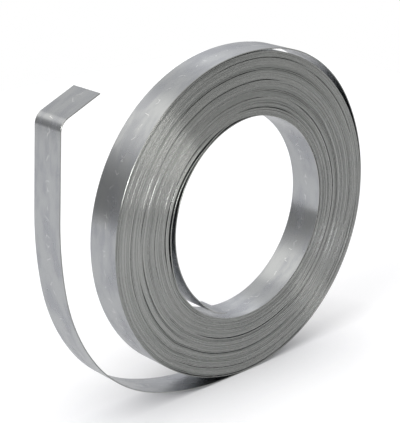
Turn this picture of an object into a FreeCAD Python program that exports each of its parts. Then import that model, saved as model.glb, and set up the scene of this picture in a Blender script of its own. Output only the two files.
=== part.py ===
import FreeCAD, Part
import math
import os
import Sketcher
from FreeCAD import Placement, Rotation, Vector

# A coil of plain steel strap that stands on its tread. The coil's axis is Y and the origin is on that
# axis, halfway across the strap. Angles run from +X towards +Z, as seen from -Y.

# Driving dimensions, in millimetres and degrees
SIZES = {
    "strap_width": 20.0,
    "strap_thickness": 0.5,
    "coil_radius": 88.7,
    "bore_radius": 55.0,
    "seat_depth": 0.15,
    "turn_groups": 12,
    "telescope": 0.5,
    "turn_end_angle": 235.0,
    "turn_sink_angle": 110.0,
    "turn_sink_depth": 0.1,
    "lift_start_angle": 98.0,
    "lift_end_angle": -6.0,
    "lift_height": 2.8,
    "lift_leave_turn": 18.0,
    "lift_crown_turn": 48.0,
    "tail_start_angle": -90.0,
    "tail_foot_radius": 444.0,
    "tail_foot_turn": 2.7,
    "tail_heel_radius": 144.6,
    "tail_heel_turn": 19.0,
    "tail_curve_radius": 76.8,
    "tail_curve_turn": 33.2,
    "tail_side_radius": 96.2,
    "tail_side_turn": 26.1,
    "tail_top_radius": 183.0,
    "tail_top_turn": 12.3,
    "tail_straight": 41.0,
    "flap_bend_radius": 7.2,
    "flap_bend_turn": 62.9,
    "flap_length": 20.2,
    "slack_start_angle": 98.0,
    "slack_end_angle": 212.0,
    "slack_depth": 1.5,
    "slack_crown_turn": 70.0,
    "inner_start_angle": 60.0,
    "inner_leave_angle": 80.0,
    "inner_dip_radius": 40.0,
    "inner_dip_turn": 12.4,
    "inner_side_radius": 53.6,
    "inner_side_turn": 128.6,
    "inner_slope_radius": 96.4,
    "inner_slope_turn": 8.0,
    "inner_tip_radius": 26.0,
    "inner_tip_turn": 32.5,
}

# The end faces: how far each group of turns stands back from the proudest one, as a share of the
# telescope size. Half of that size is proud of the strap's own edges and half is behind them.
PROUD_SHARE = 0.5
GROUP_SETBACKS = (0.0, 0.55, 0.15, 0.8, 0.3, 1.0, 0.45, 0.1, 0.7, 0.25, 0.6, 0.0)

doc = FreeCAD.newDocument("SteelStrap")
sheet = doc.addObject("Spreadsheet::Sheet", "Sizes")
for row, (alias, value) in enumerate(SIZES.items(), start=1):
    sheet.set("A%d" % row, alias)
    sheet.set("B%d" % row, repr(value))
    sheet.setAlias("B%d" % row, alias)
doc.recompute()

body = doc.addObject("PartDesign::Body", "steel_strap")
body.Label = "steel_strap"


def size(name):
    """The value of one driving dimension, read from the sheet."""
    return float(sheet.get(name))


def polar(radius, angle):
    """The point of the coil's plane at a radius and an angle in degrees."""
    return Vector(radius * math.cos(math.radians(angle)), radius * math.sin(math.radians(angle)), 0)


def origin_plane(role):
    """The body's own origin plane with this role."""
    return next(plane for plane in body.Origin.OriginFeatures if plane.Role == role)


def new_sketch(name, role, offset=None):
    """A sketch on one of the body's origin planes."""
    sketch = body.newObject("Sketcher::SketchObject", name)
    sketch.AttachmentSupport = [(origin_plane(role), "")]
    sketch.MapMode = "FlatFace"
    if offset:
        sketch.AttachmentOffset = offset
    return sketch


def drive(sketch, constraint, name, expression):
    """Add a constraint and bind it to the sheet."""
    index = sketch.addConstraint(constraint)
    sketch.renameConstraint(index, name)
    sketch.setExpression("Constraints." + name, expression)


def draw_closed(sketch, corners):
    """Draw a closed outline of upright and level lines through the corners."""
    count = len(corners)
    for index, corner in enumerate(corners):
        following = corners[(index + 1) % count]
        sketch.addGeometry(Part.LineSegment(corner, following), False)
        kind = "Vertical" if abs(corner.x - following.x) < 1e-9 else "Horizontal"
        sketch.addConstraint(Sketcher.Constraint(kind, index))
    for index in range(count):
        sketch.addConstraint(Sketcher.Constraint("Coincident", index, 2, (index + 1) % count, 1))


def group_edge(index):
    """The radius, as sheet terms and as a value, between two groups of turns."""
    share = index / size("turn_groups")
    inner = size("bore_radius")
    outer = size("coil_radius") - size("strap_thickness") + size("seat_depth")
    terms = (
        "Sizes.bore_radius + (Sizes.coil_radius - Sizes.strap_thickness + Sizes.seat_depth"
        " - Sizes.bore_radius) * %d / Sizes.turn_groups" % index
    )
    return terms, inner + (outer - inner) * share


def group_face(index, side):
    """How far a group's end face stands from the middle of the strap, as sheet terms and as a value."""
    setback = GROUP_SETBACKS[(index if side < 0 else index * 5 + 3) % len(GROUP_SETBACKS)]
    share = PROUD_SHARE - setback
    terms = "Sizes.strap_width / 2 + Sizes.telescope * (%s)" % share
    return terms, size("strap_width") / 2 + size("telescope") * share


def make_pack():
    """The tight turns as one turned ring, its end faces stepped where groups of turns stand back."""
    groups = int(size("turn_groups"))
    corners = []
    for index in range(groups):
        depth = group_face(index, -1)[1]
        corners.append(Vector(group_edge(index)[1], -depth, 0))
        corners.append(Vector(group_edge(index + 1)[1], -depth, 0))
    for index in reversed(range(groups)):
        depth = group_face(index, 1)[1]
        corners.append(Vector(group_edge(index + 1)[1], depth, 0))
        corners.append(Vector(group_edge(index)[1], depth, 0))
    sketch = new_sketch("PackSection", "XY_Plane")
    draw_closed(sketch, corners)
    origin, outline = -1, 2 * groups
    for index in range(groups):
        near, far = 2 * index, 4 * groups - 2 * index - 2
        for label, line, side in (("near", near, -1), ("far", far, 1)):
            start, end = (line, 1), (line, 2)
            low, high = (start, end) if side < 0 else (end, start)
            face = group_face(index, side)[0]
            span = (origin, 1) + low if side > 0 else low + (origin, 1)
            drive(sketch, Sketcher.Constraint("DistanceY", *span, 1.0), "%s_face_%d" % (label, index), face)
            if index + 1 < groups:
                rule = Sketcher.Constraint("DistanceX", origin, 1, *high, 1.0)
                drive(sketch, rule, "%s_edge_%d" % (label, index), group_edge(index + 1)[0])
    bore = Sketcher.Constraint("DistanceX", origin, 1, 0, 1, 1.0)
    drive(sketch, bore, "bore", group_edge(0)[0])
    rim = Sketcher.Constraint("DistanceX", origin, 1, outline - 2, 2, 1.0)
    drive(sketch, rim, "rim", group_edge(groups)[0])
    pack = body.newObject("PartDesign::Revolution", "Pack")
    pack.Profile = sketch
    pack.ReferenceAxis = (sketch, ["V_Axis"])
    pack.Angle = 360.0
    return pack


def make_section(name, centre, angle, radius, radius_terms):
    """The strap's own section, upright to its centre line at an angle round the centre."""
    turned = Placement(Vector(centre.x, 0, centre.y), Rotation(Vector(0, 1, 0), -angle))
    sketch = new_sketch(name, "XY_Plane", turned)
    half, skin = size("strap_width") / 2, size("strap_thickness") / 2
    corners = [
        Vector(radius - skin, -half, 0),
        Vector(radius + skin, -half, 0),
        Vector(radius + skin, half, 0),
        Vector(radius - skin, half, 0),
    ]
    draw_closed(sketch, corners)
    drive(sketch, Sketcher.Constraint("DistanceX", 0, 1, 0, 2, 1.0), "thickness", "Sizes.strap_thickness")
    drive(sketch, Sketcher.Constraint("DistanceY", 1, 1, 1, 2, 1.0), "width", "Sizes.strap_width")
    drive(sketch, Sketcher.Constraint("DistanceY", 0, 2, -1, 1, 1.0), "half_width", "Sizes.strap_width / 2")
    reach = "%s - Sizes.strap_thickness / 2" % radius_terms
    drive(sketch, Sketcher.Constraint("DistanceX", -1, 1, 0, 1, 1.0), "reach", reach)
    return sketch


def draw_route(sketch, start, heading, hand, runs):
    """Draw a centre line, run by run, each run tangent to the one before.

    The heading is in degrees and hand is 1 for turns to the left and -1 for turns to the right. Each
    run has a name, the sheet terms and value of its radius and the degrees it turns, or no radius,
    and then its sheet terms and value are the length of a straight run.
    """
    point, last = start, None
    for index, (name, terms, value, turn) in enumerate(runs):
        along = Vector(math.cos(math.radians(heading)), math.sin(math.radians(heading)), 0)
        if turn is None:
            finish = point + along * value
            sketch.addGeometry(Part.LineSegment(point, finish), False)
            rule, first, second = Sketcher.Constraint("Distance", index, value), 1, 2
        else:
            centre = point + Vector(-along.y, along.x, 0) * (hand * value)
            begin = math.atan2(point.y - centre.y, point.x - centre.x)
            stop = begin + hand * math.radians(turn)
            circle = Part.Circle(centre, Vector(0, 0, 1), value)
            sketch.addGeometry(Part.ArcOfCircle(circle, min(begin, stop), max(begin, stop)), False)
            finish = centre + Vector(math.cos(stop), math.sin(stop), 0) * value
            heading += hand * turn
            rule = Sketcher.Constraint("Radius", index, value)
            first, second = (1, 2) if hand > 0 else (2, 1)
        drive(sketch, rule, name, terms)
        if last is not None:
            sketch.addConstraint(Sketcher.Constraint("Tangent", index - 1, last, index, first))
        point, last = finish, second


def lift_radii(radius, turns, height):
    """The radii of three arcs that leave a circle and come back to it, tangent all along.

    The turns are the degrees that each arc turns through, and the height is how far the crest of the
    middle arc stands off the circle. Below zero it is how far it dips inside the circle.
    """
    leave, crown, back = (math.radians(turn) for turn in turns)
    leave_share = math.sin((crown + back) / 2) / math.sin(leave / 2)
    crown_share = -math.sin((leave + 2 * crown + back) / 2) / math.sin(crown / 2)
    back_share = math.sin((leave + crown) / 2) / math.sin(back / 2)
    crest = math.atan2(
        leave_share * math.sin(leave),
        leave_share - crown_share - leave_share * math.cos(leave),
    )
    rise = leave_share * (math.cos(crest) - math.cos(crest + leave)) + crown_share * (1 - math.cos(crest))
    return [radius + share * height / rise for share in (leave_share, crown_share, back_share)]


def lift_runs(name, radius, turns, height):
    """The three runs of a turn that leaves the coil's circle and comes back to it."""
    parts = zip(("leave", "crown", "back"), lift_radii(radius, turns, height), turns)
    return [("%s_%s" % (name, part), repr(value), value, turn) for part, value, turn in parts]


def sweep(name, section, route):
    """Sweep the strap's section along its centre line."""
    pipe = body.newObject("PartDesign::AdditivePipe", name)
    pipe.Profile = section
    pipe.Spine = (route, [])
    return pipe


def make_outer_turn():
    """The outermost turn, from where it runs into the pack to the bent flap at the strap's end."""
    radius = size("coil_radius") - size("strap_thickness") / 2
    terms = "Sizes.coil_radius - Sizes.strap_thickness / 2"
    sink_turn = size("turn_end_angle") - size("turn_sink_angle")
    drop = size("strap_thickness") - size("seat_depth") + size("turn_sink_depth")
    sink = drop / (1 - math.cos(math.radians(sink_turn)))
    sink_terms = (
        "%s - (Sizes.strap_thickness - Sizes.seat_depth + Sizes.turn_sink_depth)"
        " / (1 - cos((Sizes.turn_end_angle - Sizes.turn_sink_angle) * 1deg))" % terms
    )
    centre = polar(sink, size("turn_sink_angle"))
    start = centre + polar(radius - sink, size("turn_end_angle"))
    lift_turns = [size("lift_leave_turn"), size("lift_crown_turn")]
    lift_turns.append(size("lift_start_angle") - size("lift_end_angle") - sum(lift_turns))
    runs = [
        ("sink", sink_terms, radius - sink, sink_turn),
        ("top", terms, radius, size("turn_sink_angle") - size("lift_start_angle")),
    ]
    runs += lift_runs("lift", radius, lift_turns, size("lift_height"))
    runs.append(("side", terms, radius, size("lift_end_angle") - size("tail_start_angle")))
    for name in ("tail_foot", "tail_heel", "tail_curve", "tail_side", "tail_top"):
        arc = name + "_radius"
        runs.append((arc, "Sizes." + arc, size(arc), size(name + "_turn")))
    runs.append(("tail_straight", "Sizes.tail_straight", size("tail_straight"), None))
    bend = size("flap_bend_radius")
    runs.append(("flap_bend", "Sizes.flap_bend_radius", bend, size("flap_bend_turn")))
    runs.append(("flap", "Sizes.flap_length", size("flap_length"), None))
    route = new_sketch("OuterTurnRoute", "XZ_Plane")
    draw_route(route, start, size("turn_end_angle") - 90, -1, runs)
    section = make_section("OuterTurnSection", centre, size("turn_end_angle"), radius - sink, sink_terms)
    return sweep("OuterTurn", section, route)


def make_slack_turn():
    """The turn inside the bore that stands a little off the pack on one side."""
    radius = size("bore_radius") + size("seat_depth") - size("strap_thickness") / 2
    terms = "Sizes.bore_radius + Sizes.seat_depth - Sizes.strap_thickness / 2"
    angle = size("slack_start_angle")
    end_turn = (size("slack_end_angle") - angle - size("slack_crown_turn")) / 2
    turns = (end_turn, size("slack_crown_turn"), end_turn)
    runs = lift_runs("slack", radius, turns, -size("slack_depth"))
    route = new_sketch("SlackTurnRoute", "XZ_Plane")
    draw_route(route, polar(radius, angle), angle + 90, 1, runs)
    section = make_section("SlackTurnSection", Vector(), angle, radius, terms)
    return sweep("SlackTurn", section, route)


def make_inner_end():
    """The innermost turn, from where it leaves the pack to the strap's square inner end."""
    radius = size("bore_radius") + size("seat_depth") - size("strap_thickness") / 2
    terms = "Sizes.bore_radius + Sizes.seat_depth - Sizes.strap_thickness / 2"
    angle = size("inner_start_angle")
    runs = [("inner_seat", terms, radius, size("inner_leave_angle") - angle)]
    for name in ("inner_dip", "inner_side", "inner_slope", "inner_tip"):
        arc = name + "_radius"
        runs.append((arc, "Sizes." + arc, size(arc), size(name + "_turn")))
    route = new_sketch("InnerEndRoute", "XZ_Plane")
    draw_route(route, polar(radius, angle), angle + 90, 1, runs)
    section = make_section("InnerEndSection", Vector(), angle, radius, terms)
    return sweep("InnerEnd", section, route)


make_pack()
doc.recompute()
make_outer_turn()
doc.recompute()
make_slack_turn()
doc.recompute()
body.Tip = make_inner_end()
doc.recompute()

for item in doc.Objects:
    if "Invalid" in item.State or "Error" in item.State:
        raise RuntimeError("%s failed: %s" % (item.Name, item.State))
if body.Shape.isNull() or not body.Shape.isValid():
    raise RuntimeError("the strap's shape isn't valid")
if len(body.Shape.Solids) != 1:
    raise RuntimeError("the strap isn't one solid: %d" % len(body.Shape.Solids))

os.makedirs("parts", exist_ok=True)
body.Shape.exportStep(os.path.join("parts", body.Label + ".step"))
print("volume", round(body.Shape.Volume), "box", body.Shape.BoundBox)
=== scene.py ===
import logging
import math
import random
from dataclasses import dataclass
from enum import Enum
from typing import Any, ClassVar, Dict, Iterable, List, Optional, Sequence, Tuple

import bpy
from mathutils import Matrix, Vector


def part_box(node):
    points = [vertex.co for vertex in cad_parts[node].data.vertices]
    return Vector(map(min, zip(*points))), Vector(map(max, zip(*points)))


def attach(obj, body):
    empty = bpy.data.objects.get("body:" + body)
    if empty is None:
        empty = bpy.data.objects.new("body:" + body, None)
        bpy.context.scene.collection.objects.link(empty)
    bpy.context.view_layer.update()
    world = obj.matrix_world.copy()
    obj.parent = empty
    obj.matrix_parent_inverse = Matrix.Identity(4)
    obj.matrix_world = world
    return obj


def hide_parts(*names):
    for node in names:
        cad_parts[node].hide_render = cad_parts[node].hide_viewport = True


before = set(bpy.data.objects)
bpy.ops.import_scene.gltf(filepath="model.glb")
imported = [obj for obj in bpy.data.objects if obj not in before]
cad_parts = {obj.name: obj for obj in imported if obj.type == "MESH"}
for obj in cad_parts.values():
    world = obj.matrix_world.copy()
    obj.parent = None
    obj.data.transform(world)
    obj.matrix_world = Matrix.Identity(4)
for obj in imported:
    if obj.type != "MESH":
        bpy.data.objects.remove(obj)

log = logging.getLogger("steel_strap")

MM = 0.001
FULL_TURN = 360.0
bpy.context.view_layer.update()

Color = Tuple[float, float, float, float]
Sockets = Optional[Dict[Any, Any]]

WHITE: Color = (1.0, 1.0, 1.0, 1.0)
STRAP_MAP = "strap"

# The sRGB curve: straight at its foot, and a power above it
FOOT_TOP, FOOT_SLOPE = 0.04045, 12.92
CURVE_OFFSET, CURVE_POWER = 0.055, 2.4


def linear(hex_code: str) -> Color:
    """Turn an sRGB colour to linear light.

    Args:
        hex_code: six hex digits after a hash.

    Returns:
        Red, green, blue and alpha, linear.
    """
    channels = [int(hex_code[at:at + 2], 16) / 255 for at in (1, 3, 5)]
    red, green, blue = (
        channel / FOOT_SLOPE if channel <= FOOT_TOP
        else ((channel + CURVE_OFFSET) / (1 + CURVE_OFFSET)) ** CURVE_POWER
        for channel in channels
    )
    return (red, green, blue, 1.0)


def add_node(tree: bpy.types.NodeTree, kind: str, settings: Optional[Dict[str, Any]] = None,
             values: Sockets = None, links: Sockets = None) -> bpy.types.Node:
    """Add one shader node.

    Args:
        tree: the tree that takes the node.
        kind: the node's Blender type.
        settings: the node's own properties.
        values: constants for its input sockets, by name or place.
        links: output sockets that feed its input sockets, by name or place.

    Returns:
        The new node.
    """
    node = tree.nodes.new(kind)
    for name, value in (settings or {}).items():
        setattr(node, name, value)
    for socket, value in (values or {}).items():
        node.inputs[socket].default_value = value
    for socket, source in (links or {}).items():
        tree.links.new(source, node.inputs[socket])
    return node


def smooth(value: float, low: float, high: float) -> float:
    """Rise smoothly from 0 at low to 1 at high."""
    share = min(1.0, max(0.0, (value - low) / (high - low)))
    return share * share * (3 - 2 * share)


class Face(Enum):
    """The two kinds of surface that a strap shows, as places in its list of materials."""

    BROAD = 0
    EDGE = 1


class Hand(Enum):
    """The side that an arc turns to, seen from the coil's near end."""

    LEFT = 1
    RIGHT = -1


@dataclass(frozen=True)
class Pattern:
    """Noise laid along the strap, with a patch's real size along it and across it, in metres.

    It is 0 where the noise is below its low level and 1 above its high level.
    """

    length: float
    width: float
    low: float
    high: float
    detail: float

    def lay(self, tree: bpy.types.NodeTree, place: bpy.types.NodeSocket) -> bpy.types.NodeSocket:
        """Lay the pattern.

        Args:
            tree: the material's tree.
            place: the place along and across the strap, in metres.

        Returns:
            The pattern's level, from 0 to 1.
        """
        scaled = add_node(tree, "ShaderNodeVectorMath", {"operation": "MULTIPLY"},
                          {1: (1 / self.length, 1 / self.width, 1.0)}, {0: place})
        noise = add_node(tree, "ShaderNodeTexNoise", {"noise_dimensions": "2D"},
                         {"Scale": 1.0, "Detail": self.detail},
                         {"Vector": scaled.outputs["Vector"]})
        level = add_node(tree, "ShaderNodeMapRange", {"interpolation_type": "SMOOTHSTEP"},
                         {"From Min": self.low, "From Max": self.high},
                         {"Value": noise.outputs["Fac"]})
        return level.outputs["Result"]


@dataclass(frozen=True)
class Scuffs:
    """Small bright rub marks along the middle of the strap, each a few short scratches, in metres.

    The scratches lie on the edges of cells, inside a spot of the mark's length and width, and the
    faint pattern breaks them off. Real ones are some hundredths of a millimetre wide. That is too
    fine to show in the render, so the line is drawn as wide as it needs to show.
    """

    spacing: float = 7.5 * MM
    length: float = 4.0 * MM
    width: float = 4.0 * MM
    cell: float = 4.4 * MM
    line: float = 0.2 * MM
    core: float = 0.6
    strength: float = 0.7
    faint: Pattern = Pattern(2.5 * MM, 2.5 * MM, 0.34, 0.56, 1.0)

    def lay(self, tree: bpy.types.NodeTree, place: bpy.types.NodeSocket) -> bpy.types.NodeSocket:
        """Lay the marks.

        Args:
            tree: the material's tree.
            place: the place along and across the strap, in metres.

        Returns:
            How much of a mark there is, from 0 to the strength.
        """
        split = add_node(tree, "ShaderNodeSeparateXYZ", None, None, {"Vector": place})
        spots = add_node(tree, "ShaderNodeTexVoronoi", {"voronoi_dimensions": "1D"},
                         {"Scale": 1 / self.spacing}, {"W": split.outputs["X"]})
        aside = add_node(tree, "ShaderNodeMath", {"operation": "ABSOLUTE"}, None,
                         {0: split.outputs["Y"]})
        cells = add_node(tree, "ShaderNodeTexVoronoi",
                         {"voronoi_dimensions": "2D", "feature": "DISTANCE_TO_EDGE"},
                         {"Scale": 1 / self.cell}, {"Vector": place})
        # A mark falls off where a distance nears its reach, and is whole below the core of it
        reaches = (
            (spots.outputs["Distance"], self.length / self.spacing / 2),
            (aside.outputs[0], self.width / 2),
            (cells.outputs["Distance"], self.line / self.cell),
        )
        mark = self.faint.lay(tree, place)
        for distance, reach in reaches:
            level = add_node(tree, "ShaderNodeMapRange", {"interpolation_type": "SMOOTHSTEP"},
                             {"From Min": reach, "From Max": reach * self.core},
                             {"Value": distance})
            mark = add_node(tree, "ShaderNodeMath", {"operation": "MULTIPLY"}, None,
                            {0: mark, 1: level.outputs["Result"]}).outputs[0]
        return add_node(tree, "ShaderNodeMath", {"operation": "MULTIPLY"}, {1: self.strength},
                        {0: mark}).outputs[0]


@dataclass(frozen=True)
class Steel:
    """One of the strap's steel surfaces: bare metal with its lines along the strap."""

    name: str
    color: str
    worn_color: str
    roughness: float
    worn_roughness: float
    grain: float
    wear: Pattern
    relief: Pattern
    relief_height: float
    scuffs: Optional[Scuffs] = None
    scuff_color: str = "#FAFAFA"

    # A quarter turn lays the highlights across the lines, as on any drawn or rolled metal
    GRAIN_TURN: ClassVar[float] = 0.25

    def build(self) -> bpy.types.Material:
        """Build the material.

        Returns:
            The material, with its patterns laid along the strap's own length and width.
        """
        material = bpy.data.materials.new(self.name)
        material.use_nodes = True
        tree = material.node_tree
        tree.nodes.clear()
        place = add_node(tree, "ShaderNodeUVMap", {"uv_map": STRAP_MAP}).outputs["UV"]
        worn = self.wear.lay(tree, place)
        tone = add_node(tree, "ShaderNodeMix", {"data_type": "RGBA"},
                        {"A": linear(self.color), "B": linear(self.worn_color)},
                        {"Factor": worn})
        color = tone.outputs["Result"]
        if self.scuffs:
            marked = add_node(tree, "ShaderNodeMix", {"data_type": "RGBA"},
                              {"B": linear(self.scuff_color)},
                              {"Factor": self.scuffs.lay(tree, place), "A": color})
            color = marked.outputs["Result"]
        rough = add_node(tree, "ShaderNodeMapRange", None,
                         {"To Min": self.roughness, "To Max": self.worn_roughness},
                         {"Value": worn})
        relief = add_node(tree, "ShaderNodeBump", None,
                          {"Strength": 1.0, "Distance": self.relief_height},
                          {"Height": self.relief.lay(tree, place)})
        along = add_node(tree, "ShaderNodeTangent",
                         {"direction_type": "UV_MAP", "uv_map": STRAP_MAP})
        shader = add_node(tree, "ShaderNodeBsdfPrincipled", None,
                          {"Metallic": 1.0, "Anisotropic": self.grain,
                           "Anisotropic Rotation": self.GRAIN_TURN},
                          {"Base Color": color, "Roughness": rough.outputs["Result"],
                           "Normal": relief.outputs["Normal"],
                           "Tangent": along.outputs["Tangent"]})
        add_node(tree, "ShaderNodeOutputMaterial", None, None,
                 {"Surface": shader.outputs["BSDF"]})
        return material


# Cold-rolled low-carbon strip, left bright and uncoated, as it came off ground rolls. The rolls
# leave fine lines along the strip, so its reflections stay clear along it and spread across it.
# Handling and a trace of oil leave faint cloudy patches, a couple of centimetres long. Real roll
# lines are a few hundredths of a millimetre apart, which is too fine to show in the render, so the
# relief draws them 0.9 mm apart.
BRIGHT_ROLLED_STEEL = Steel(
    name="bright_rolled_steel",
    color="#C7C9CA",
    worn_color="#B8BABE",
    roughness=0.22,
    worn_roughness=0.28,
    grain=0.55,
    wear=Pattern(22 * MM, 9 * MM, 0.35, 0.7, 4.0),
    relief=Pattern(45 * MM, 0.9 * MM, 0.2, 0.8, 3.0),
    relief_height=0.003 * MM,
    scuffs=Scuffs(),
)

# The edge where rotary knives slit the strip from a wide sheet: a torn, finely streaked skin,
# duller and a little greener than the rolled faces. Its tone drifts only slightly along a turn, so
# the coil's ends stay even, and the streaks draw their highlights out into fine lines. Real
# streaks are hundredths of a millimetre wide, which is too fine to show in the render, so the
# relief draws them 0.3 mm wide, about two to a strap's thickness.
SLIT_STEEL_EDGE = Steel(
    name="slit_steel_edge",
    color="#B5B6B3",
    worn_color="#A3A5A2",
    roughness=0.24,
    worn_roughness=0.28,
    grain=0.9,
    wear=Pattern(120 * MM, 30 * MM, 0.38, 0.62, 2.0),
    relief=Pattern(140 * MM, 0.3 * MM, 0.2, 0.8, 1.0),
    relief_height=0.003 * MM,
)


@dataclass
class Station:
    """One place along the strap's centre line, in metres, and how much its rim is rubbed there.

    Its x and z lie in the coil's plane, and its side is the place along the coil's axis.
    """

    x: float
    z: float
    side: float = 0.0
    rub: float = 0.0


@dataclass(frozen=True)
class Bend:
    """One stretch of the loose strap: an arc, or a straight where it turns through nothing.

    Its reach is the arc's radius or the straight's length, in metres, and its turn is in degrees.
    """

    reach: float
    turn: float = 0.0


@dataclass(frozen=True)
class Window:
    """A stretch round the coil, in degrees, where something rises smoothly and falls again."""

    start: float
    stop: float
    ease: float = 14.0

    def level(self, angle: float) -> float:
        """Say how far something has risen at an angle.

        Args:
            angle: the place round the coil, in degrees.

        Returns:
            From 0 outside the stretch to 1 inside it.
        """
        middle, half = (self.start + self.stop) / 2, (self.stop - self.start) / 2
        off = abs((angle - middle + FULL_TURN / 2) % FULL_TURN - FULL_TURN / 2)
        return 1 - smooth(off, half - self.ease, half)


@dataclass(frozen=True)
class Gap:
    """An open seam between one turn and the next inside it, over a stretch of the coil.

    The stretch is in degrees and the width in metres.
    """

    turn: int
    start: float
    stop: float
    width: float


@dataclass
class StrapRoute:
    """Where the strap's centre line runs, from the flap's end to the inner end, in metres.

    Angles are in degrees round the coil's axis, from +X towards +Z, and grow the way the strap
    winds in. Turns are counted inwards, and the outermost is 0.
    """

    coil_radius: float
    thickness: float = 0.5 * MM

    # The tight turns: the innermost layer of all, the last tight turn outside it, how many turns
    # follow the outermost, where each starts, and between which angles it sinks one layer deeper
    inner_layer: float = 54.9 * MM
    last_layer: float = 55.42 * MM
    turns: int = 59
    start: float = -90.0
    sink: Tuple[float, float] = (176.0, 268.0)

    # The outermost turn lifts off the coil and comes back along three arcs
    lift_from: float = -6.0
    lift_turns: Tuple[float, float, float] = (38.0, 48.0, 18.0)
    lift_height: float = 2.8 * MM

    # Where the whole pack is looser, where its last turn hangs slack, and where the innermost
    # layer stands off it, up to the angle at which that layer leaves the coil
    loosened: Window = Window(102.0, 214.0, 26.0)
    loosened_by: float = 0.7 * MM
    slack: Window = Window(98.0, 212.0, 30.0)
    slack_by: float = 1.3 * MM
    bore_gap: Window = Window(-78.0, 58.0, 40.0)
    bore_gap_width: float = 0.4 * MM
    leave: float = 80.0

    # Where the outermost turn's rim is rubbed, and how far it stands proud of the others there
    rim: Window = Window(82.0, 206.0, 24.0)
    rim_proud: float = 0.2 * MM

    # The tail and the flap, outwards from under the coil. The tight arc is the flap's bend.
    tail: Tuple[Bend, ...] = (
        Bend(444 * MM, 2.7),
        Bend(144.6 * MM, 19.0),
        Bend(76.8 * MM, 33.2),
        Bend(96.2 * MM, 26.1),
        Bend(183 * MM, 12.3),
        Bend(41 * MM),
        Bend(7.2 * MM, 62.9),
        Bend(20.2 * MM),
    )
    inner_end: Tuple[Bend, ...] = (
        Bend(40 * MM, 12.4),
        Bend(53.6 * MM, 128.6),
        Bend(96.4 * MM, 8.0),
        Bend(26 * MM, 32.5),
    )

    # The seams that stand open. What room is left in the pack is shared out unevenly over all
    # seams: most get little more than the least share, and a few get most of it.
    gaps: Tuple[Gap, ...] = (
        Gap(0, 80, 190, 0.44 * MM), Gap(0, 222, 268, 0.45 * MM), Gap(1, 92, 165, 0.26 * MM),
        Gap(1, 226, 308, 0.55 * MM), Gap(4, 308, 358, 0.36 * MM), Gap(6, 58, 114, 0.34 * MM),
        Gap(8, 308, 354, 0.34 * MM), Gap(8, 14, 66, 0.4 * MM), Gap(9, 226, 304, 0.4 * MM),
        Gap(10, 130, 180, 0.26 * MM), Gap(11, 300, 350, 0.34 * MM), Gap(15, 125, 168, 0.28 * MM),
        Gap(17, 80, 132, 0.4 * MM), Gap(24, 188, 304, 0.52 * MM), Gap(26, 4, 60, 0.26 * MM),
        Gap(27, 68, 182, 0.46 * MM), Gap(30, 178, 238, 0.4 * MM), Gap(35, 8, 54, 0.26 * MM),
        Gap(39, 232, 306, 0.55 * MM), Gap(42, 300, 424, 0.46 * MM), Gap(43, 72, 126, 0.36 * MM),
        Gap(43, 142, 206, 0.28 * MM), Gap(50, 164, 224, 0.28 * MM), Gap(52, 54, 102, 0.34 * MM),
        Gap(54, 114, 196, 0.4 * MM), Gap(57, 188, 240, 0.4 * MM),
    )
    least_fine: float = 0.25
    least_share: float = 0.03
    share_power: int = 8

    # How far turns stand to the side, as shares of the telescope: runs of turns that stand
    # together, each with its count and its level, then what each turn has of its own, and how
    # much of it comes and goes round the coil
    groups: Tuple[Tuple[int, float], ...] = (
        (1, 0.1), (1, -0.1), (4, 0.1), (3, 0.25), (6, 0.0), (3, -0.1), (7, 0.1), (3, 0.3),
        (3, -0.2), (9, 0.05), (4, 0.2), (8, 0.0), (4, 0.2), (3, -0.1),
    )
    group_share: float = 0.9
    unevenness: float = 0.45
    sway: float = 0.2
    telescope: float = 0.25 * MM
    seed: int = 11

    # How finely the line is cut into stations: the longest straight step, the most that a step
    # turns on a wide arc and on a tight one, and the steps in a sinking stretch, in a turn that
    # shows its broad side, in one that shows only its edge, and in the innermost layer
    straight_step: float = 4.5 * MM
    arc_step: float = 1.0
    tight_radius: float = 10.0 * MM
    tight_step: float = 6.0
    sinking_steps: int = 60
    open_steps: int = 240
    packed_steps: int = 126
    inner_steps: int = 120

    def __post_init__(self) -> None:
        """Work out how tight the turns lie and how far each stands to the side."""
        self.outer = self.coil_radius - self.thickness / 2
        self.spare = self.outer - self.last_layer - self.turns * self.thickness
        dice = random.Random(self.seed)
        self.shares = [self.least_share + dice.random() ** self.share_power
                       for _ in range(self.turns)]
        levels = [level for count, level in self.groups for _ in range(count)]
        levels += [0.0] * (self.turns + 2 - len(levels))
        own = [dice.uniform(-self.unevenness, self.unevenness) for _ in range(self.turns - 1)]
        self.levels = [self.telescope * (self.group_share * level + nudge)
                       for level, nudge in zip(levels, [0.0] + own + [0.0, 0.0])]
        self.depths: Dict[float, List[float]] = {}

    def depth(self, turn: int, angle: float) -> float:
        """Work out how deep a turn lies below the outermost one, before any sinking.

        Args:
            turn: the turn's number.
            angle: the place round the coil, in degrees.

        Returns:
            The depth, in metres.
        """
        key = round(angle % FULL_TURN, 6)
        if key not in self.depths:
            wide = [0.0] * self.turns
            for gap in self.gaps:
                wide[gap.turn] += gap.width * Window(gap.start, gap.stop).level(angle)
            free = self.spare + self.loosened_by * self.loosened.level(angle)
            fine = max(free - sum(wide), self.least_fine * free)
            scale = (free - fine) / sum(wide) if any(wide) else 0.0
            total = sum(self.shares)
            depths = [0.0]
            for share, opened in zip(self.shares, wide):
                depths.append(depths[-1] + self.thickness + opened * scale + fine * share / total)
            self.depths[key] = depths
        return self.depths[key][turn]

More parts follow.
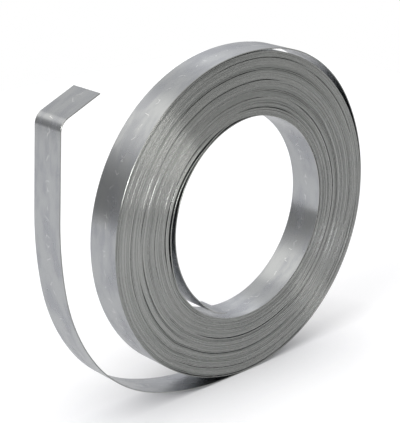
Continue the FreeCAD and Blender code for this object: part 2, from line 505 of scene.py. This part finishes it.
    def radius(self, turn: int, angle: float) -> float:
        """Work out the radius of a tight turn's centre line.

        Args:
            turn: the turn's number.
            angle: the place round the coil, in degrees.

        Returns:
            The radius, in metres.
        """
        share = smooth(angle, *self.sink)
        deep = self.depth(turn, angle)
        inner = self.outer - self.inner_layer
        deeper = self.depth(turn + 1, angle) if turn < self.turns else inner
        radius = self.outer - deep * (1 - share) - deeper * share
        if turn == self.turns:
            radius -= self.slack_by * self.slack.level(angle)
        return radius

    def side(self, turn: int, angle: float) -> float:
        """Work out how far a turn stands towards the coil's near end.

        Args:
            turn: the turn's number.
            angle: the place round the coil, in degrees.

        Returns:
            The place along Y, in metres.
        """
        share = smooth(angle, *self.sink)
        level = self.levels[turn] * (1 - share) + self.levels[turn + 1] * share
        # Each turn leans in and out twice round the coil, not in step with its neighbours
        return -level * (1 - self.sway + self.sway * math.cos(math.radians(angle) * 2 + turn))

    def walk(self, start: Station, heading: float, hand: Hand,
             bends: Iterable[Bend]) -> List[Station]:
        """Follow arcs and straights that are tangent to each other.

        Args:
            start: where the walk starts.
            heading: its first direction, in degrees.
            hand: the side that its arcs turn to.
            bends: the arcs and straights.

        Returns:
            The stations after the first.
        """
        x, z = start.x, start.z
        stations: List[Station] = []
        for bend in bends:
            along = math.radians(heading)
            if not bend.turn:
                count = math.ceil(bend.reach / self.straight_step)
                for index in range(1, count + 1):
                    reach = bend.reach * index / count
                    stations.append(Station(x + reach * math.cos(along),
                                            z + reach * math.sin(along)))
            else:
                radius = hand.value * bend.reach
                centre_x, centre_z = x - radius * math.sin(along), z + radius * math.cos(along)
                step = self.tight_step if bend.reach < self.tight_radius else self.arc_step
                count = math.ceil(bend.turn / step)
                for index in range(1, count + 1):
                    turned = along + hand.value * math.radians(bend.turn) * index / count
                    stations.append(Station(centre_x + radius * math.sin(turned),
                                            centre_z - radius * math.cos(turned)))
                heading += hand.value * bend.turn
            x, z = stations[-1].x, stations[-1].z
        return stations

    def lifted(self) -> List[Bend]:
        """Lay out the outermost turn up to where it sinks in.

        Its three lifted arcs start and end on the tight circle and are tangent to it and to each
        other. The shares say how much each arc's radius departs from the tight one, for a rise
        that the last step scales to the lift's height. The crest is where the middle arc stands
        furthest off.

        Returns:
            The tight stretch before the lift, the three arcs and the tight stretch after them.
        """
        away, crown, back = (math.radians(turn) for turn in self.lift_turns)
        shares = (
            math.sin((crown + back) / 2) / math.sin(away / 2),
            -math.sin((away + 2 * crown + back) / 2) / math.sin(crown / 2),
            math.sin((away + crown) / 2) / math.sin(back / 2),
        )
        crest = math.atan2(shares[0] * math.sin(away),
                           shares[0] * (1 - math.cos(away)) - shares[1])
        rise = (shares[0] * (math.cos(crest) - math.cos(crest + away))
                + shares[1] * (1 - math.cos(crest)))
        arcs = [Bend(self.outer + share * self.lift_height / rise, turn)
                for share, turn in zip(shares, self.lift_turns)]
        lift_to = self.lift_from + sum(self.lift_turns)
        before = Bend(self.outer, self.lift_from - self.start)
        return [before] + arcs + [Bend(self.outer, self.sink[0] - lift_to)]

    def polar(self, radius: float, angle: float, side: float) -> Station:
        """Find the station at a radius and an angle."""
        along = math.radians(angle)
        return Station(radius * math.cos(along), radius * math.sin(along), side)

    def tight_turn(self, turn: int, start: float, count: int) -> List[Station]:
        """Lay out one tight turn, from an angle to its end.

        Args:
            turn: the turn's number.
            start: the angle that it is laid from, in degrees.
            count: how many steps it takes.

        Returns:
            The stations after the first.
        """
        reach = self.start + FULL_TURN - start
        angles = [start + reach * index / count for index in range(1, count + 1)]
        return [self.polar(self.radius(turn, angle), angle, self.side(turn, angle))
                for angle in angles]

    def stations(self) -> List[Station]:
        """Lay out the whole strap.

        Returns:
            The stations from the flap's end to the inner end.
        """
        foot = Station(0.0, -self.outer)
        line = list(reversed(self.walk(foot, FULL_TURN / 2, Hand.RIGHT, self.tail))) + [foot]
        outermost = self.walk(foot, 0.0, Hand.LEFT, self.lifted())
        outermost += self.tight_turn(0, self.sink[0], self.sinking_steps)
        for station in outermost:
            station.rub = self.rim.level(math.degrees(math.atan2(station.z, station.x)))
            station.side -= self.rim_proud * station.rub
        line += outermost
        for turn in range(1, self.turns + 1):
            shows = turn in (1, self.turns - 1, self.turns)
            steps = self.open_steps if shows else self.packed_steps
            line += self.tight_turn(turn, self.start, steps)
        for index in range(1, self.inner_steps + 1):
            angle = self.start + (self.leave - self.start) * index / self.inner_steps
            radius = self.inner_layer - self.bore_gap_width * self.bore_gap.level(angle)
            line.append(self.polar(radius, angle, 0.0))
        heading = self.leave + FULL_TURN / 4
        return line + self.walk(line[-1], heading, Hand.LEFT, self.inner_end)


@dataclass
class StrapCoil:
    """The whole strap as one ribbon with rounded edges."""

    route: StrapRoute
    width: float
    rolled_over: float = 0.17 * MM
    rubbed_over: float = 0.14 * MM
    burred: float = 0.04 * MM
    piece: str = "strap"

    # The section's two broad sides, by the corner that each starts at, and the corners where its
    # surface breaks sharply instead of rounding over
    BROAD_SIDES: ClassVar[Tuple[int, int]] = (0, 5)
    SHARP_CORNERS: ClassVar[Tuple[int, ...]] = (0, 1, 4, 5, 6, 7)

    def section(self, rub: float = 0.0) -> List[Tuple[float, float]]:
        """Draw the strap's section, as places outward and sideways from its centre line.

        Slitting rolls over the two corners on one face and leaves the other two nearly square.
        Rubbing on the coil's rim rounds the same two corners more.

        Args:
            rub: how much the rim is rubbed there, from 0 to 1.

        Returns:
            The section's corners, round the strap.
        """
        half, skin = self.width / 2, self.route.thickness / 2
        round_corner, square_corner = self.rolled_over + self.rubbed_over * rub, self.burred
        middle = round_corner * (1 - math.sqrt(0.5))
        return [
            (skin, round_corner - half), (skin, half - round_corner),
            (skin - middle, half - middle), (skin - round_corner, half),
            (square_corner - skin, half), (-skin, half - square_corner),
            (-skin, square_corner - half), (square_corner - skin, -half),
            (skin - round_corner, -half), (skin - middle, middle - half),
        ]

    def corners(self, line: Sequence[Station]) -> List[Tuple[float, float, float]]:
        """Set a section at each station, square to the line.

        Args:
            line: the stations.

        Returns:
            The places of all the sections' corners.
        """
        places: List[Tuple[float, float, float]] = []
        for index, station in enumerate(line):
            before, after = line[max(0, index - 1)], line[min(len(line) - 1, index + 1)]
            along = Vector((after.x - before.x, after.z - before.z)).normalized()
            out_x, out_z = along.y, -along.x
            for out, sideways in self.section(station.rub):
                places.append((station.x + out_x * out, station.side + sideways,
                               station.z + out_z * out))
        return places

    def build(self) -> bpy.types.Object:
        """Build the ribbon.

        Returns:
            The strap's object, with its length and width as a map.
        """
        line = self.route.stations()
        places = self.corners(line)
        count = len(self.section())
        faces: List[Sequence[int]] = []
        kinds: List[int] = []
        for near in range(0, len(places) - count, count):
            for corner in range(count):
                following = (corner + 1) % count
                faces.append((near + corner, near + following,
                              near + count + following, near + count + corner))
                kinds.append((Face.BROAD if corner in self.BROAD_SIDES else Face.EDGE).value)
        faces.append(tuple(reversed(range(count))))
        faces.append(tuple(range(len(places) - count, len(places))))
        kinds += [Face.EDGE.value] * 2
        mesh = bpy.data.meshes.new(self.piece)
        mesh.from_pydata(places, [], faces)
        mesh.polygons.foreach_set("material_index", kinds)
        mesh.polygons.foreach_set("use_smooth", [True] * len(faces))
        length = self.lay_map(mesh, line)
        mesh.validate()
        mesh.update()
        self.crease(mesh)
        strap = bpy.data.objects.new(self.piece, mesh)
        bpy.context.scene.collection.objects.link(strap)
        log.info("%s: %.2f m long, %d faces", self.piece, length, len(faces))
        return strap

    def crease(self, mesh: bpy.types.Mesh) -> None:
        """Mark the sharp corners' long edges and both cut ends as sharp, and leave the rest round.

        Args:
            mesh: the ribbon's mesh.
        """
        count = len(self.section())
        last = len(mesh.vertices) // count - 1
        sharp = []
        for edge in mesh.edges:
            first, second = edge.vertices
            lengthwise = first % count == second % count
            cut_end = first // count == second // count and first // count in (0, last)
            sharp.append(cut_end or (lengthwise and first % count in self.SHARP_CORNERS))
        mesh.attributes.new("sharp_edge", "BOOLEAN", "EDGE").data.foreach_set("value", sharp)

    def lay_map(self, mesh: bpy.types.Mesh, line: Sequence[Station]) -> float:
        """Lay a map over the ribbon: metres along it and metres across it.

        Args:
            mesh: the ribbon's mesh.
            line: the stations.

        Returns:
            The strap's length, in metres.
        """
        runs = [0.0]
        for before, after in zip(line, line[1:]):
            runs.append(runs[-1] + math.hypot(after.x - before.x, after.z - before.z))
        across = [sideways + out for out, sideways in self.section()]
        flat: List[float] = []
        for loop in mesh.loops:
            station, corner = divmod(loop.vertex_index, len(across))
            flat += [runs[station], across[corner]]
        mesh.uv_layers.new(name=STRAP_MAP).data.foreach_set("uv", flat)
        return runs[-1]

    def dress(self, strap: bpy.types.Object) -> None:
        """Give the rolled faces and the slit edges their finishes, in the order of Face."""
        for finish in (BRIGHT_ROLLED_STEEL, SLIT_STEEL_EDGE):
            strap.data.materials.append(finish.build())

    def place(self) -> bpy.types.Object:
        """Build and dress the strap and put it in the place of its plain solid.

        Returns:
            The strap's object.
        """
        strap = self.build()
        self.dress(strap)
        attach(strap, "root")
        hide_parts("steel_strap")
        return strap


def direction(azimuth: float, elevation: float) -> Vector:
    """Point a way: so many degrees round from +X towards +Y, and so many up from level."""
    around, up = math.radians(azimuth), math.radians(elevation)
    return Vector((math.cos(around) * math.cos(up), math.sin(around) * math.cos(up), math.sin(up)))


@dataclass(frozen=True)
class SoftBox:
    """One soft patch of light in the studio round the strap, its angles in degrees.

    Its azimuth is from +X towards +Y. It reaches so far round its middle, and blurs by so much
    to both sides of that.
    """

    azimuth: float
    elevation: float
    reach: float
    blur: float
    strength: float
    color: str = "#FFFFFF"


@dataclass
class Studio:
    """The floor, the light round the strap and the camera."""

    # A pale floor, lifted to white for the camera but less so near the strap, where ambient
    # occlusion dims the lift into a painted shade
    floor_height: float
    floor_half: float = 0.58
    floor_color: str = "#D3D3D5"
    floor_lift: float = 0.49
    shade_reach: float = 0.06
    shade_depth: float = 1.9
    shade_samples: int = 16

    # How much of the white background the steel shows, against dim walls and a brighter ceiling,
    # with the heights between which one turns to the other
    background_shine: float = 0.15
    walls: float = 0.1
    ceiling: float = 0.6
    walls_top: float = 0.2
    ceiling_from: float = 0.62

    # In turn: two patches behind for the tread and the bore, a narrow one for the bright wedge on
    # the near end, one for the rim, two faint ones that even out the near end, one far to the left
    # that throws the shadow to the right, and one that carries the floor's light past its edge
    boxes: Tuple[SoftBox, ...] = (
        SoftBox(112.0, 39.0, 15.0, 6.0, 0.5, "#FFFCF4"),
        SoftBox(50.0, 19.0, 20.0, 8.0, 0.45, "#F8F9FF"),
        SoftBox(-100.0, 24.0, 12.5, 2.5, 4.0, "#FFFEFC"),
        SoftBox(-152.0, 25.0, 13.0, 8.0, 2.5),
        SoftBox(-128.0, 12.0, 24.0, 14.0, 0.12),
        SoftBox(-26.0, 9.0, 18.0, 10.0, 0.25),
        SoftBox(188.0, 22.0, 10.0, 5.0, 20.0),
        SoftBox(0.0, -90.0, 84.75, 3.75, 0.42),
    )

    # The camera, as fitted to the coil's rims in a picture 423 pixels high
    azimuth: float = -42.22
    elevation: float = 19.97
    distance: float = 686.2 * MM
    aim_right: float = -18.47 * MM
    aim_up: float = 1.01 * MM
    focal_pixels: float = 1300.0
    picture_height: float = 423.0
    sensor: float = 36.0
    clip_start: float = 0.01

    def seen(self, tree: bpy.types.NodeTree) -> bpy.types.NodeSocket:
        """Say how much of the white background a ray sees: all for the camera, a share in steel.

        Args:
            tree: the tree of the floor or the world.

        Returns:
            The share, from 0 to 1.
        """
        rays = add_node(tree, "ShaderNodeLightPath").outputs
        shown = add_node(tree, "ShaderNodeMath", {"operation": "ADD"}, None,
                         {0: rays["Is Glossy Ray"], 1: rays["Is Transmission Ray"]})
        return add_node(tree, "ShaderNodeMath", {"operation": "MULTIPLY_ADD"},
                        {1: self.background_shine},
                        {0: shown.outputs[0], 2: rays["Is Camera Ray"]}).outputs[0]

    def build_floor(self) -> None:
        """Lay a plain pale floor that looks white and keeps the strap's shadow."""
        half = self.floor_half
        mesh = bpy.data.meshes.new("floor")
        corners = [(-half, -half, 0), (half, -half, 0), (half, half, 0), (-half, half, 0)]
        mesh.from_pydata(corners, [], [(0, 1, 2, 3)])
        floor = bpy.data.objects.new("floor", mesh)
        floor.location.z = self.floor_height
        bpy.context.scene.collection.objects.link(floor)
        mesh.materials.append(self.floor_material())
        log.info("floor: %.2f m square", 2 * half)

    def floor_material(self) -> bpy.types.Material:
        """Make the floor's matt surface, with its lift for the camera.

        Returns:
            The floor's material.
        """
        material = bpy.data.materials.new("pale_floor")
        material.use_nodes = True
        tree = material.node_tree
        tree.nodes.clear()
        # The lift fades where ambient occlusion finds the strap close by: a painted shade round
        # the strap, on top of the shadow that the lights cast
        shade = add_node(tree, "ShaderNodeAmbientOcclusion", {"samples": self.shade_samples},
                         {"Distance": self.shade_reach})
        deep = add_node(tree, "ShaderNodeMath", {"operation": "POWER"}, {1: self.shade_depth},
                        {0: shade.outputs["AO"]})
        full = add_node(tree, "ShaderNodeMath", {"operation": "MULTIPLY"}, {1: self.floor_lift},
                        {0: deep.outputs[0]})
        lift = add_node(tree, "ShaderNodeMath", {"operation": "MULTIPLY"}, None,
                        {0: self.seen(tree), 1: full.outputs[0]})
        glow = add_node(tree, "ShaderNodeEmission", None, {"Color": WHITE},
                        {"Strength": lift.outputs[0]})
        matt = add_node(tree, "ShaderNodeBsdfDiffuse", None, {"Color": linear(self.floor_color)})
        both = add_node(tree, "ShaderNodeAddShader", None, None,
                        {0: matt.outputs["BSDF"], 1: glow.outputs["Emission"]})
        add_node(tree, "ShaderNodeOutputMaterial", None, None,
                 {"Surface": both.outputs["Shader"]})
        return material

    def build_world(self) -> None:
        """Light the strap from all round: dim walls, a brighter ceiling and patches of light."""
        world = bpy.data.worlds.new("studio")
        bpy.context.scene.world = world
        world.use_nodes = True
        tree = world.node_tree
        tree.nodes.clear()
        way = add_node(tree, "ShaderNodeTexCoord").outputs["Generated"]
        height = add_node(tree, "ShaderNodeSeparateXYZ", None, None, {"Vector": way}).outputs["Z"]
        level = add_node(tree, "ShaderNodeMapRange", {"interpolation_type": "SMOOTHSTEP"},
                         {"From Min": self.walls_top, "From Max": self.ceiling_from,
                          "To Min": self.walls, "To Max": self.ceiling},
                         {"Value": height}).outputs["Result"]
        for box in self.boxes:
            toward = add_node(tree, "ShaderNodeVectorMath", {"operation": "DOT_PRODUCT"},
                              {1: direction(box.azimuth, box.elevation)},
                              {0: way}).outputs["Value"]
            rim = math.cos(math.radians(box.reach + box.blur))
            core = math.cos(math.radians(box.reach - box.blur))
            patch = add_node(tree, "ShaderNodeMapRange", {"interpolation_type": "SMOOTHSTEP"},
                             {"From Min": rim, "From Max": core, "To Max": box.strength},
                             {"Value": toward}).outputs["Result"]
            level = add_node(tree, "ShaderNodeVectorMath", {"operation": "MULTIPLY_ADD"},
                             {0: linear(box.color)[:3]},
                             {1: patch, 2: level}).outputs["Vector"]
        shown = add_node(tree, "ShaderNodeMix", {"data_type": "RGBA"}, {"B": WHITE},
                         {"Factor": self.seen(tree), "A": level}).outputs["Result"]
        glow = add_node(tree, "ShaderNodeBackground", None, {"Strength": 1.0}, {"Color": shown})
        add_node(tree, "ShaderNodeOutputWorld", None, None,
                 {"Surface": glow.outputs["Background"]})
        log.info("studio: %d soft patches of light", len(self.boxes))

    def build_camera(self) -> None:
        """Stand the camera where the photograph was taken from."""
        back = direction(self.azimuth - FULL_TURN / 4, self.elevation)
        right = direction(self.azimuth, 0.0)
        above = back.cross(right)
        aim = right * self.aim_right + above * self.aim_up
        data = bpy.data.cameras.new("camera")
        data.sensor_width = self.sensor
        data.lens = self.sensor * self.focal_pixels / self.picture_height
        data.clip_start = self.clip_start
        camera = bpy.data.objects.new("camera", data)
        rows = Matrix((right, above, back)).transposed()
        camera.matrix_world = Matrix.Translation(aim + back * self.distance) @ rows.to_4x4()
        bpy.context.scene.collection.objects.link(camera)
        bpy.context.scene.camera = camera
        log.info("camera: %.0f mm lens", data.lens)

    def build(self) -> None:
        """Build the whole studio."""
        self.build_floor()
        self.build_world()
        self.build_camera()
        bpy.context.scene.view_settings.view_transform = "Standard"


def main() -> None:
    """Build the strap and the studio round it."""
    logging.basicConfig(level=logging.INFO)
    low, high = (Vector(corner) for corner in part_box("steel_strap"))
    route = StrapRoute(coil_radius=-low.z)
    # The solid's ends include the steps between turns, so the strap itself is narrower
    width = (high.y - low.y) - 2 * route.telescope
    strap = StrapCoil(route, width).place()
    log.info("placed %s, %.1f mm wide", strap.name, width / MM)
    Studio(floor_height=low.z).build()


if __name__ == "__main__":
    main()
